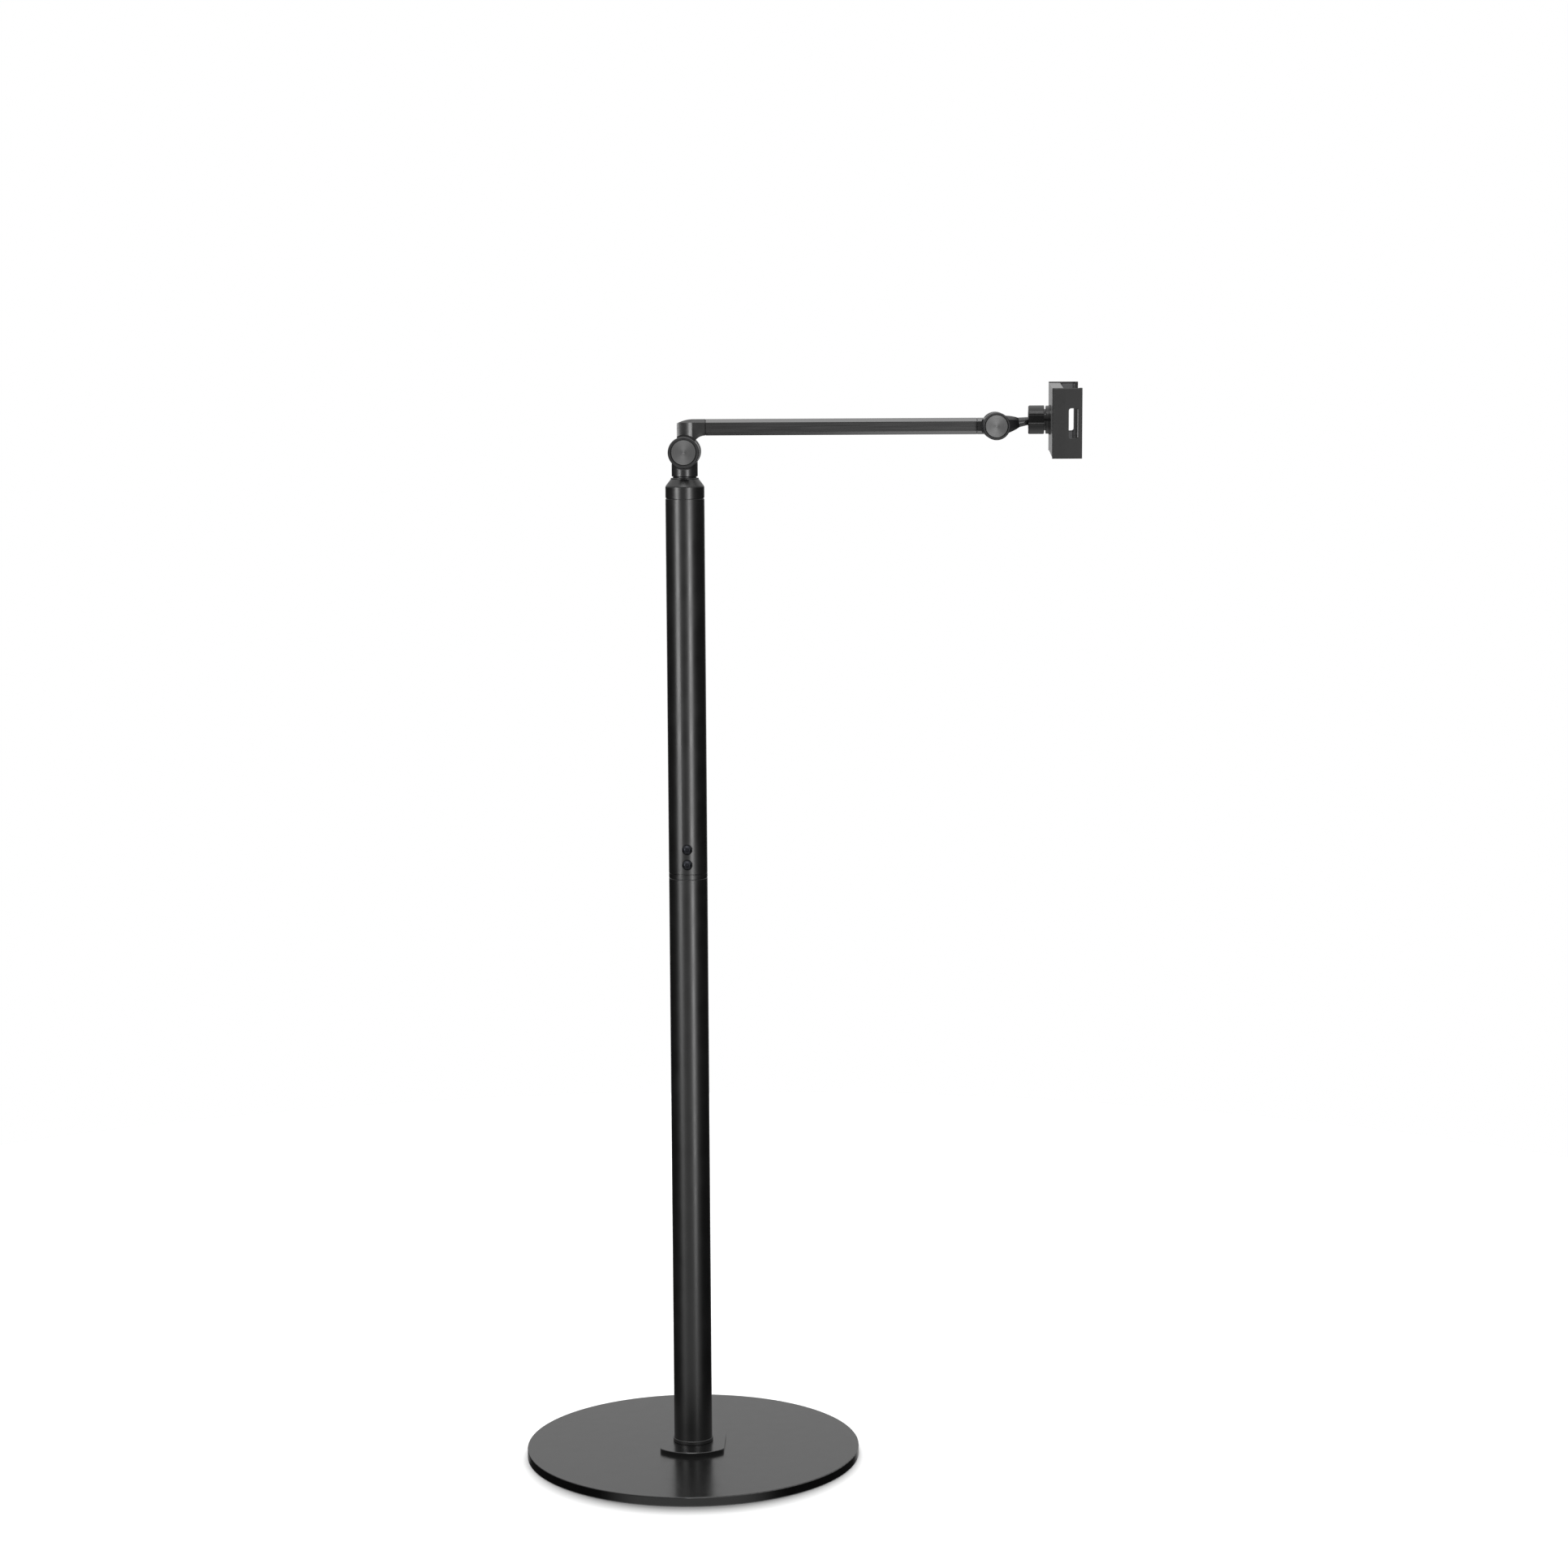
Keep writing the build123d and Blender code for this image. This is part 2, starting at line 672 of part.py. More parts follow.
arm_hinge_bolt = hinge_bolt(arm_hinge)
arm_hinge_nut = hinge_nut(arm_hinge)
arm_hinge_disc_spring = cone_spring(
    hinge_bolt_dia / 2 + fit_gap, hinge_disc_dia / 2, facing(arm_hinge, 1).offset(nut_floor)
)
arm_hinge_washers = hinge_washers(arm_hinge, elbow_width)
arm_hinge_front_cap = hinge_cap(arm_hinge, -1, arm_cap_dia)
arm_hinge_rear_cap = hinge_cap(arm_hinge, 1, arm_cap_dia)


# Set screws under the arm
elbow_half = elbow_width / 2
tube_start = elbow_reach + tube_start_gap
tube_end = wrist_reach - arm_end_length
grub_length = arm_wall + grub_bite
grub_spots = [
    Location((place, 0, arm_centre - arm_height / 2), (180, 0, 0))
    for place in (tube_start + grub_inset, tube_end - grub_inset)
]
grub_screw = grub(grub_dia, grub_length, grub_key, grub_key_depth)

with BuildPart() as arm_grub_screws:
    with Locations(*grub_spots):
        add(grub_screw)


# Elbow: middle knuckle, upright boss and bend
arm_top = arm_rise + arm_height / 2
arm_under = arm_rise - arm_height / 2
inner_bend = elbow_reach - elbow_half
drop_start = (elbow_drop_run - elbow_end, arm_top)
drop_end = (-elbow_end, arm_top - elbow_drop)
swell_half = (elbow_half + elbow_end) / 2
swell_middle = (elbow_half - elbow_end) / 2
swell_radius = (swell_half ** 2 + elbow_swell ** 2) / (2 * elbow_swell)


def arm_bar(start, end, inset=0):
    """A length of the arm's section along X, shrunk all round by an inset."""
    bar_end = Plane(origin=(start, 0, arm_centre), x_dir=(0, 1, 0), z_dir=(1, 0, 0))
    with BuildPart() as bar:
        with BuildSketch(bar_end) as section:
            Rectangle(arm_width - 2 * inset, arm_height - 2 * inset)
            chamfer(section.vertices(), arm_corner - inset * (2 - sqrt(2)))
        extrude(amount=end - start)
    return bar.part


elbow_tenon = arm_bar(elbow_reach - cut_over, elbow_reach + tenon_length, arm_wall + fit_gap)
with BuildSketch(facing(arm_hinge, -1)) as elbow_outline:
    with BuildLine():
        Line((elbow_half, 0), (elbow_half, arm_under - inner_bend))
        RadiusArc((elbow_half, arm_under - inner_bend), (elbow_reach, arm_under), inner_bend)
        Polyline((elbow_reach, arm_under), (elbow_reach, arm_top), drop_start)
        TangentArc(drop_start, drop_end, tangent=(-1, 0))
        Polyline(drop_end, (-elbow_end, 0), (elbow_half, 0))
    make_face()

with BuildPart() as boss:
    with BuildSketch(Plane.XY.offset(arm_axis)):
        with Locations((swell_middle, elbow_half + elbow_swell - swell_radius)):
            Circle(swell_radius)
        with Locations((swell_middle, swell_radius - elbow_half - elbow_swell)):
            Circle(swell_radius, mode=Mode.INTERSECT)
        with Locations((swell_middle, 0)):
            Rectangle(2 * swell_half - face_gap, elbow_width + 2 * elbow_swell, mode=Mode.INTERSECT)
    extrude(amount=arm_top)
    rims = boss.edges().group_by(Axis.Z)[-1].filter_by(GeomType.CIRCLE)
    chamfer(rims, arm_corner)
    extrude(elbow_outline.sketch, amount=elbow_half + elbow_swell, both=True, mode=Mode.INTERSECT)
    with BuildSketch(facing(arm_hinge, -1)):
        Circle(arm_cheek_dia / 2 + saddle_gap)
    extrude(amount=elbow_half + elbow_swell, both=True, mode=Mode.SUBTRACT)

with BuildPart() as elbow:
    extrude(elbow_outline.sketch, amount=elbow_half, both=True)
    arcs = elbow.edges().filter_by(GeomType.CIRCLE)
    bend_edges = arcs.filter_by(lambda e: e.center().X > elbow_half and e.center().Z < arm_centre)
    chamfer(bend_edges, arm_corner)
    for side in (-1, 1):
        with BuildSketch(Plane(origin=(-elbow_end, 0, arm_centre), x_dir=(0, 1, 0), z_dir=(1, 0, 0))):
            Polygon(
                (side * elbow_half, arm_height / 2), (side * elbow_half, arm_height / 2 - arm_corner),
                (side * (elbow_half - arm_corner), arm_height / 2), align=None,
            )
        extrude(amount=elbow_end + elbow_reach, mode=Mode.SUBTRACT)
    add(boss.part)
    with BuildSketch(facing(arm_hinge, -1)):
        Circle(arm_knuckle_radius)
    extrude(amount=elbow_half, both=True)
    add(elbow_tenon)
    with BuildSketch(facing(arm_hinge, -1)):
        Circle(hinge_bolt_dia / 2 + bush_wall + fit_gap)
    extrude(amount=elbow_half, both=True, mode=Mode.SUBTRACT)
    with Locations(grub_spots[0]):
        Hole(grub_dia / 2 + fit_gap, depth=grub_length + face_gap)


def knuckle_bush(centre, width):
    """A plain bush in a knuckle, round the hinge bolt."""
    with BuildPart() as bush:
        with BuildSketch(facing(centre, -1)):
            Circle(hinge_bolt_dia / 2 + bush_wall)
            Circle(hinge_bolt_dia / 2 + running_gap, mode=Mode.SUBTRACT)
        extrude(amount=width / 2, both=True)
    return bush


elbow_bush = knuckle_bush(arm_hinge, elbow_width)


tube_core = arm_bar(tube_start - cut_over, tube_end + cut_over, arm_wall)
tube_bar = arm_bar(tube_start, tube_end)
end_tenon = arm_bar(tube_end - tenon_length, tube_end + cut_over, arm_wall + fit_gap)
end_bar = arm_bar(tube_end + tube_start_gap, wrist_reach)

# Arm tube
with BuildPart() as arm_tube:
    add(tube_bar)
    chamfer(arm_tube.edges().group_by(Axis.X)[0] + arm_tube.edges().group_by(Axis.X)[-1], edge_break)
    add(tube_core, mode=Mode.SUBTRACT)
    with Locations(*grub_spots):
        Hole(grub_dia / 2 + fit_gap, depth=arm_wall)


# Arm's end fitting
wrist_knuckle_radius = wrist_cheek_dia / 2 - knuckle_inset
with BuildPart() as arm_end:
    add(end_bar)
    for outward in (-1, 1):
        with BuildSketch(facing(wrist_hinge, outward).offset(wrist_knuckle_width / 2)):
            Circle(wrist_cheek_dia / 2 + saddle_gap)
        extrude(amount=arm_width, mode=Mode.SUBTRACT)
    with BuildSketch(facing(wrist_hinge, -1)):
        Circle(wrist_knuckle_radius)
    extrude(amount=wrist_knuckle_width / 2, both=True)
    add(end_tenon)
    with BuildSketch(facing(wrist_hinge, -1)):
        Circle(hinge_bolt_dia / 2 + bush_wall + fit_gap)
    extrude(amount=wrist_knuckle_width / 2, both=True, mode=Mode.SUBTRACT)
    with Locations(grub_spots[-1]):
        Hole(grub_dia / 2 + fit_gap, depth=grub_length + face_gap)

arm_end_bush = knuckle_bush(wrist_hinge, wrist_knuckle_width)


# Wrist fork: two cheeks and the tapering shank
fork_room = cut_hinge(
    wrist_hinge, wrist_cap_dia, wrist_knuckle_width, wrist_knuckle_radius + fork_slot_floor,
    ((-wrist_cheek_dia, -wrist_cheek_dia), (0, wrist_cheek_dia)),
)
with BuildPart() as wrist_fork:
    with BuildSketch(facing(wrist_hinge, -1)):
        Circle(wrist_cheek_dia / 2)
    extrude(amount=barrel_half, both=True)
    chamfer(wrist_fork.edges().filter_by(GeomType.CIRCLE), barrel_edge)
    with BuildSketch(along_stud(shank_start)) as shank_root:
        Rectangle(shank_start_width, shank_start_height)
        chamfer(shank_root.vertices(), shank_start_corner)
    with BuildSketch(along_stud(shank_swell)) as shank_middle:
        Rectangle(shank_swell_width, shank_swell_height)
        chamfer(shank_middle.vertices(), shank_swell_corner)
    with BuildSketch(along_stud(shank_end)) as shank_tip:
        Rectangle(shank_end_size, shank_end_size)
        chamfer(shank_tip.vertices(), shank_end_corner)
    loft()
    add(fork_room, mode=Mode.SUBTRACT)
    with BuildSketch(along_stud(shank_end)):
        Circle(stud_thread_dia / 2 + fit_gap)
    extrude(amount=-stud_thread_length - face_gap, mode=Mode.SUBTRACT)

wrist_hinge_bolt = hinge_bolt(wrist_hinge)
wrist_hinge_nut = hinge_nut(wrist_hinge)
wrist_hinge_disc_spring = cone_spring(
    hinge_bolt_dia / 2 + fit_gap, hinge_disc_dia / 2, facing(wrist_hinge, 1).offset(nut_floor)
)
wrist_hinge_washers = hinge_washers(wrist_hinge, wrist_knuckle_width)
wrist_hinge_front_cap = hinge_cap(wrist_hinge, -1, wrist_cap_dia)
wrist_hinge_rear_cap = hinge_cap(wrist_hinge, 1, wrist_cap_dia)


# Ball stud
ball_radius = ball_dia / 2
root_start = stud_length - ball_radius
with BuildPart() as ball_stud:
    with BuildSketch(along_stud(shank_end - stud_thread_length)):
        Circle(stud_thread_dia / 2)
    extrude(amount=stud_thread_length)
    with BuildSketch(along_stud(shank_end)):
        Circle(stud_neck_dia / 2)
    with BuildSketch(along_stud(root_start)):
        Circle(stud_root_dia / 2)
    loft()
    with BuildSketch(along_stud(root_start)):
        Circle(stud_root_dia / 2)
    extrude(amount=ball_radius)
    with Locations(ball_centre):
        Sphere(ball_radius)


# Ball joint's liners, about the ball's centre
def liner(rear_angle, front_angle):
    """A shell round the ball, between two angles from the rear pole, turned about X."""
    middle = (rear_angle + front_angle) / 2
    inner = [on_circle(liner_inner, angle) for angle in (rear_angle, middle, front_angle)]
    outer = [on_circle(liner_outer, angle) for angle in (rear_angle, middle, front_angle)]
    with BuildPart() as shell:
        with BuildSketch():
            with BuildLine():
                ThreePointArc(*inner)
                Line(inner[-1], outer[-1])
                ThreePointArc(*outer)
                Line(outer[0], inner[0])
            make_face()
        revolve(axis=Axis.X)
    return shell.part


stud_pose = Location(Plane(origin=ball_centre, x_dir=stud_axis, z_dir=Vector(0, -1, 0)))
cup_front_angle = 180 - degrees(asin(cup_hole_dia / 2 / liner_inner))
collar_at_origin = liner(collar_rear_angle, collar_front_angle)
cup_at_origin = liner(cup_rear_angle, cup_front_angle)

with BuildPart() as ball_collar:
    with Locations(stud_pose):
        add(collar_at_origin)

with BuildPart() as ball_cup:
    with Locations(holder_pose):
        add(cup_at_origin)


# Clamp nut, with its own centre at the ball's
nut_radius = nut_dia / 2
mouth_x, mouth_radius = on_circle(socket_sphere, nut_mouth_angle)
seat_end_angle = degrees(acos(-nut_seat_lead / socket_sphere))
seat_end_x, seat_end_radius = on_circle(socket_sphere, seat_end_angle)
with BuildPart() as nut_room:
    with BuildSketch():
        with BuildLine():
            Polyline(
                (-nut_rear - cut_over, 0), (-nut_rear - cut_over, nut_mouth_dia / 2),
                (-nut_rear, nut_mouth_dia / 2), (mouth_x, mouth_radius),
            )
            ThreePointArc(
                (mouth_x, mouth_radius), on_circle(socket_sphere, (nut_mouth_angle + seat_end_angle) / 2),
                (seat_end_x, seat_end_radius),
            )
            Polyline(
                (seat_end_x, seat_end_radius), (seat_end_x, spigot_radius + liner_gap),
                (nut_front + cut_over, spigot_radius + liner_gap), (nut_front + cut_over, 0),
                (-nut_rear - cut_over, 0),
            )
        make_face()
    revolve(axis=Axis.X)

with BuildPart() as clamp_nut:
    with BuildSketch(Plane.YZ.offset(-nut_rear)):
        Circle(nut_radius)
    extrude(amount=nut_length)
    chamfer(clamp_nut.edges().group_by(Axis.X)[0], nut_edge)
    chamfer(clamp_nut.edges().group_by(Axis.X)[-1], edge_break)
    with BuildSketch(Plane.YZ.offset(-nut_rear)):
        with PolarLocations(nut_radius, nut_lobes, start_angle=180 + nut_valley_turn):
            RectangleRounded(2 * nut_valley_depth, nut_valley_width, nut_valley_round)
    extrude(amount=nut_length, mode=Mode.SUBTRACT)
    add(nut_room.part, mode=Mode.SUBTRACT)


# Ball socket and its screws
socket_spots = [
    Location((cavity_rear, 0, 0), (0, 90, 0)) * spot
    for spot in PolarLocations(socket_screw_circle / 2, socket_screw_count, start_angle=45).locations
]
small_screw = socket_screw(
    socket_screw_dia, socket_screw_head, socket_screw_head_height, socket_screw_length,
    socket_screw_key, socket_screw_key_depth,
)
small_seat = sunk_seat(
    socket_screw_dia, socket_screw_head, socket_screw_head_height, socket_screw_length + face_gap
)
pocket_rim = (spigot_setback, sqrt(socket_sphere ** 2 - spigot_setback ** 2))
body_radius = socket_body_dia / 2
lip_radius = socket_lip_dia / 2
lip_start = shell_rear - socket_lip_length
with BuildPart() as ball_socket:
    with BuildSketch():
        with BuildLine():
            Polyline(
                pocket_rim, (spigot_setback, spigot_radius), (socket_rear, spigot_radius),
                (socket_rear, body_radius - edge_break), (socket_rear + edge_break, body_radius),
                (lip_start, body_radius), (lip_start, lip_radius - edge_break),
                (lip_start + edge_break, lip_radius), (shell_rear, lip_radius),
                (shell_rear, socket_boss_dia / 2), (cavity_rear, socket_boss_dia / 2), (cavity_rear, 0),
                (socket_sphere, 0),
            )
            ThreePointArc((socket_sphere, 0), on_circle(socket_sphere, 135), pocket_rim)
        make_face()
    revolve(axis=Axis.X)
    with Locations(*socket_spots):
        add(small_seat, mode=Mode.SUBTRACT)

with BuildPart() as socket_screws:
    with Locations(*socket_spots):
        add(small_screw)


# Holder shell: an open tray with guides for both tongues
cavity_depth = cover_rear - cavity_rear
inner_height = shell_height - 2 * shell_wall
post_y = shell_end - post_inset_y
post_z = shell_height / 2 - post_inset_z
post_spots = [
    Location((pad_rear, side_y * post_y, side_z * post_z), (0, 90, 0))
    for side_y in (-1, 1) for side_z in (-1, 1)
]
cover_screw = socket_screw(
    cover_screw_dia, cover_screw_head, cover_screw_head_height, cover_screw_length,
    cover_screw_key, cover_screw_key_depth,
)
cover_seat = sunk_seat(
    cover_screw_dia, cover_screw_head, cover_screw_head_height, cover_screw_length + face_gap
)
rail_low = tongue_high + slide_gap
with BuildPart() as holder_shell:
    with BuildSketch(Plane.YZ.offset(shell_rear)):
        RectangleRounded(shell_length, shell_height, shell_corner)
    extrude(amount=shell_depth)
    chamfer(holder_shell.faces().sort_by(Axis.X)[0].edges(), edge_break)
    with BuildSketch(Plane.YZ.offset(cavity_rear)):
        Rectangle(shell_length - 2 * shell_wall, inner_height)
    extrude(amount=cavity_depth, mode=Mode.SUBTRACT)
    with BuildSketch(Plane.YZ.offset(cavity_rear)):
        Rectangle(shell_length - 2 * shell_wall, centre_rib)
        for turn in (-1, 1):
            with Locations((0, turn * (rail_low + rail_thickness / 2))):
                Rectangle(shell_length - 2 * shell_wall, rail_thickness)
        with GridLocations(2 * post_y, 2 * post_z, 2, 2):
            Circle(post_dia / 2)
    extrude(amount=cavity_depth)
    with BuildSketch(Plane.YZ.offset(cavity_rear)):
        for turn in (-1, 1):
            with Locations((turn * post_place, turn * tongue_middle)):
                Circle(peg_dia / 2)
    extrude(amount=cavity_depth - face_gap)
    with BuildSketch(Plane.YZ.offset(tongue_rear - slide_gap)):
        for turn in (-1, 1):
            with Locations((-turn * (shell_end - shell_wall / 2), turn * tongue_middle)):
                Rectangle(shell_wall + cut_over, tongue_height + 2 * slide_gap)
    extrude(amount=cover_rear - tongue_rear + slide_gap, mode=Mode.SUBTRACT)
    with BuildSketch(Plane.YZ.offset(shell_rear)):
        Circle(socket_boss_dia / 2 + fit_gap)
    extrude(amount=shell_wall, mode=Mode.SUBTRACT)
    with Locations(*socket_spots):
        add(small_seat, mode=Mode.SUBTRACT)
    with Locations(*post_spots):
        add(cover_seat, mode=Mode.SUBTRACT)

with BuildPart() as holder_cover:
    with BuildSketch(Plane.YZ.offset(cover_rear)):
        RectangleRounded(shell_length, shell_height, shell_corner)
    extrude(amount=cover_thickness)
    chamfer(holder_cover.faces().sort_by(Axis.X)[-1].edges(), edge_break)
    with Locations(*post_spots):
        add(cover_seat, mode=Mode.SUBTRACT)

with BuildPart() as face_pad:
    with BuildSketch(Plane.YZ.offset(pad_rear)):
        RectangleRounded(
            shell_length - 2 * face_pad_margin, shell_height - 2 * face_pad_margin, face_pad_corner
        )
    extrude(amount=face_pad_thickness)
    chamfer(face_pad.faces().sort_by(Axis.X)[-1].edges(), edge_break)

with BuildPart() as cover_screws:
    with Locations(*post_spots):
        add(cover_screw)


# Jaws, one drawn on the near side and turned over for the far side
slot_front = jaw_front - slot_from_front
slot_middle = slot_front - slot_width / 2
lip_rear = jaw_front - jaw_lip_thickness
lip_edge = jaw_inner - jaw_lip_reach
tongue_step = tongue_front - tongue_notch_skin
with BuildPart() as near_jaw:
    with BuildSketch():
        Polygon(
            (shell_rear, -jaw_outer), (shell_rear + jaw_crease, -jaw_outer),
            (jaw_front, -jaw_outer + jaw_lean), (jaw_front, -lip_edge - jaw_lip_bevel),
            (jaw_front - jaw_lip_bevel, -lip_edge), (lip_rear, -lip_edge),
            (lip_rear, -jaw_inner), (shell_rear, -jaw_inner), align=None,
        )
    extrude(amount=jaw_height / 2, both=True)
    outer_edges = near_jaw.edges().filter_by(lambda e: e.center().Y < -jaw_inner - jaw_wall / 2)
    crease = outer_edges.filter_by(Axis.Z).filter_by_position(
        Axis.X, shell_rear + edge_break, jaw_front - edge_break
    )
    fillet(outer_edges - crease, jaw_round)
    with BuildSketch(Plane.XY.offset(tongue_low)):
        with Locations(((tongue_rear + tongue_front) / 2, (tongue_end - jaw_inner) / 2)):
            Rectangle(tongue_thickness, jaw_inner + tongue_end)
    extrude(amount=tongue_height)
    with BuildSketch(Plane.YZ.offset(tongue_rear)):
        with Locations((tongue_end - tongue_notch_length / 2, tongue_middle)):
            Rectangle(tongue_notch_length, tongue_notch_height)
    extrude(amount=tongue_step - tongue_rear, mode=Mode.SUBTRACT)
    with BuildSketch(Plane.YZ.offset(tongue_step)):
        with Locations((peg_place, tongue_middle)):
            Circle(peg_dia / 2)
    extrude(amount=-peg_length)
    with BuildSketch(Plane.XZ.offset(jaw_inner - cut_over)):
        with Locations((slot_middle, 0)):
            RectangleRounded(slot_width, slot_height, slot_corner)
    extrude(amount=jaw_wall + 2 * cut_over, mode=Mode.SUBTRACT)

with BuildPart() as near_jaw_pad:
    with BuildSketch():
        Polygon(
            (pad_front + pad_start_gap, -jaw_inner), (lip_rear, -jaw_inner),
            (lip_rear, -lip_edge - pad_lip_margin),
            (lip_rear - pad_thickness, -lip_edge - pad_lip_margin),
            (lip_rear - pad_thickness, -jaw_inner + pad_thickness),
            (pad_front + pad_start_gap, -jaw_inner + pad_thickness), align=None,
        )
    extrude(amount=jaw_height / 2 - pad_margin, both=True)
    with BuildSketch(Plane.XZ.offset(jaw_inner - pad_thickness - cut_over)):
        with Locations((slot_middle, 0)):
            RectangleRounded(
                slot_width + 2 * pad_slot_margin, slot_height + 2 * pad_slot_margin,
                slot_corner + pad_slot_margin,
            )
    extrude(amount=pad_thickness + 2 * cut_over, mode=Mode.SUBTRACT)


# Springs: an eye round the tongue's peg, a sleeve of coils with a bar across each end, and an eye
# round the shell's post
eye_radius = (peg_dia + spring_wire) / 2 + spring_eye_gap
coil_start = peg_place + spring_lead
coil_end = post_place - spring_lead


def across_spring(place, x_dir):
    """A plane square to a spring's axis, at a place along it."""
    return Plane(origin=(spring_axis_x, place, tongue_middle), x_dir=x_dir, z_dir=(0, 1, 0))


with BuildPart() as near_spring:
    with BuildSketch(across_spring(coil_start, (1, 0, 0))):
        Circle(spring_dia / 2)
        Circle(spring_core_dia / 2, mode=Mode.SUBTRACT)
    extrude(amount=coil_end - coil_start)
    for place, inward in ((peg_place, 1), (post_place, -1)):
        eye_edge = place + inward * eye_radius
        bar_place = place + inward * spring_lead
        with BuildSketch(across_spring(eye_edge, (1, 0, 0))):
            Circle(spring_wire / 2)
        extrude(amount=bar_place - eye_edge)
        with BuildSketch(Plane(origin=(spring_axis_x, bar_place, tongue_middle), z_dir=(0, 0, 1))):
            Circle(spring_bar / 2)
        extrude(amount=(spring_dia + spring_core_dia) / 4, both=True)
        with BuildSketch(Plane(origin=(spring_axis_x, place, tongue_middle), z_dir=(1, 0, 0))):
            Circle(eye_radius + spring_wire / 2)
            Circle(eye_radius - spring_wire / 2, mode=Mode.SUBTRACT)
        extrude(amount=spring_bar / 2, both=True)

turned_over = (180, 0, 0)
with BuildPart() as far_jaw:
    add(near_jaw.part, rotation=turned_over)

with BuildPart() as far_jaw_pad:
    add(near_jaw_pad.part, rotation=turned_over)

with BuildPart() as far_spring:
    add(near_spring.part, rotation=turned_over)


# The holder's pieces were drawn square, about the ball; here they take the holder's attitude
holder_pieces = {
    "clamp_nut": clamp_nut, "ball_socket": ball_socket, "socket_screws": socket_screws,
    "holder_shell": holder_shell, "holder_cover": holder_cover, "face_pad": face_pad,
    "cover_screws": cover_screws, "near_jaw": near_jaw, "near_jaw_pad": near_jaw_pad,
    "near_spring": near_spring, "far_jaw": far_jaw, "far_jaw_pad": far_jaw_pad, "far_spring": far_spring,
}
for piece in holder_pieces.values():
    piece.part.locate(holder_pose)

pieces = holder_pieces | {
    "floor_mat": floor_mat, "base_plate": base_plate, "base_screws": base_screws,
    "pole_flange": pole_flange, "foot_ring": foot_ring, "lower_tube": lower_tube,
    "coupler_sleeve": coupler_sleeve, "joint_ring": joint_ring, "coupler_screws": coupler_screws,
    "upper_tube": upper_tube, "shoulder_cap": shoulder_cap, "swivel_ring": swivel_ring,
    "swivel_bush": swivel_bush, "swivel_disc_spring": swivel_disc_spring, "swivel_bolt": swivel_bolt,
    "yoke": yoke, "arm_hinge_bolt": arm_hinge_bolt, "arm_hinge_nut": arm_hinge_nut,
    "arm_hinge_disc_spring": arm_hinge_disc_spring, "arm_hinge_washers": arm_hinge_washers,
    "arm_hinge_front_cap": arm_hinge_front_cap, "arm_hinge_rear_cap": arm_hinge_rear_cap,
    "elbow": elbow, "elbow_bush": elbow_bush, "arm_tube": arm_tube, "arm_grub_screws": arm_grub_screws,
    "arm_end": arm_end, "arm_end_bush": arm_end_bush, "wrist_fork": wrist_fork,
    "wrist_hinge_bolt": wrist_hinge_bolt, "wrist_hinge_nut": wrist_hinge_nut,
    "wrist_hinge_disc_spring": wrist_hinge_disc_spring, "wrist_hinge_washers": wrist_hinge_washers,
    "wrist_hinge_front_cap": wrist_hinge_front_cap, "wrist_hinge_rear_cap": wrist_hinge_rear_cap,
    "ball_stud": ball_stud, "ball_collar": ball_collar, "ball_cup": ball_cup,
}

os.makedirs("parts", exist_ok=True)
for name, piece in pieces.items():
    piece.part.label = name
    export_step(piece.part, f"parts/{name}.step")
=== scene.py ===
import math

import bmesh
import bpy
from mathutils import Matrix, Vector

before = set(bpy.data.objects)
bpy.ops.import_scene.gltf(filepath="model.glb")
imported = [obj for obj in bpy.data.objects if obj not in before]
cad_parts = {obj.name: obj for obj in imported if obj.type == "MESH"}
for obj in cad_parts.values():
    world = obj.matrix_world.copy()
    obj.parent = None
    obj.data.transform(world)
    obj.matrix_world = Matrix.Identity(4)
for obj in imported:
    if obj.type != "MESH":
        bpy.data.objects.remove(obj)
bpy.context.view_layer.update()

MM = 0.001

# The camera, fitted to the stand's own edges and centres. The photograph is 1932 pixels square,
# and the focal length, fitted in its pixels, is kept as a share of its side.
PHOTO_SIDE = 1932
FOCAL_LENGTH = 4285.4 / PHOTO_SIDE
SENSOR_SIDE = 36.0
CAMERA_PLACE = Vector((0.1715, -3.5642, 1.1579))
CAMERA_DOWN = math.radians(7.113)
CAMERA_TURN = math.radians(1.153)
CAMERA_ROLL = math.radians(-0.314)


def set_camera():
    """Puts the camera where the photograph was taken from."""
    lens = bpy.data.cameras.new("photo_camera")
    lens.sensor_width = SENSOR_SIDE
    lens.lens = FOCAL_LENGTH * SENSOR_SIDE
    camera = bpy.data.objects.new("photo_camera", lens)
    camera.matrix_world = (
        Matrix.Translation(CAMERA_PLACE)
        @ Matrix.Rotation(CAMERA_TURN, 4, "Z")
        @ Matrix.Rotation(math.radians(90) - CAMERA_DOWN, 4, "X")
        @ Matrix.Rotation(CAMERA_ROLL, 4, "Z")
    )
    bpy.context.scene.collection.objects.link(camera)
    bpy.context.scene.camera = camera


def linear(hex_colour):
    """A screen colour such as "#2b2c2e" as linear red, green, blue and one."""
    shares = [int(hex_colour[i:i + 2], 16) / 255 for i in (1, 3, 5)]
    return [s / 12.92 if s <= 0.04045 else ((s + 0.055) / 1.055) ** 2.4 for s in shares] + [1.0]


def add(tree, kind, settings=(), links=()):
    """Adds a node, with its settings and what feeds it, each by a socket's name or number."""
    node = tree.nodes.new(kind)
    for name, value in dict(settings).items():
        if isinstance(name, int) or name in node.inputs:
            node.inputs[name].default_value = value
        else:
            setattr(node, name, value)
    for name, source in dict(links).items():
        tree.links.new(source, node.inputs[name])
    return node


# Studio: a white floor and backdrop, a soft sky, two tall soft lights and a high one in front

FLOOR_RADIUS = 1.8
FLOOR_SIDES = 96
FLOOR_WHITE = "#f4f4f4"
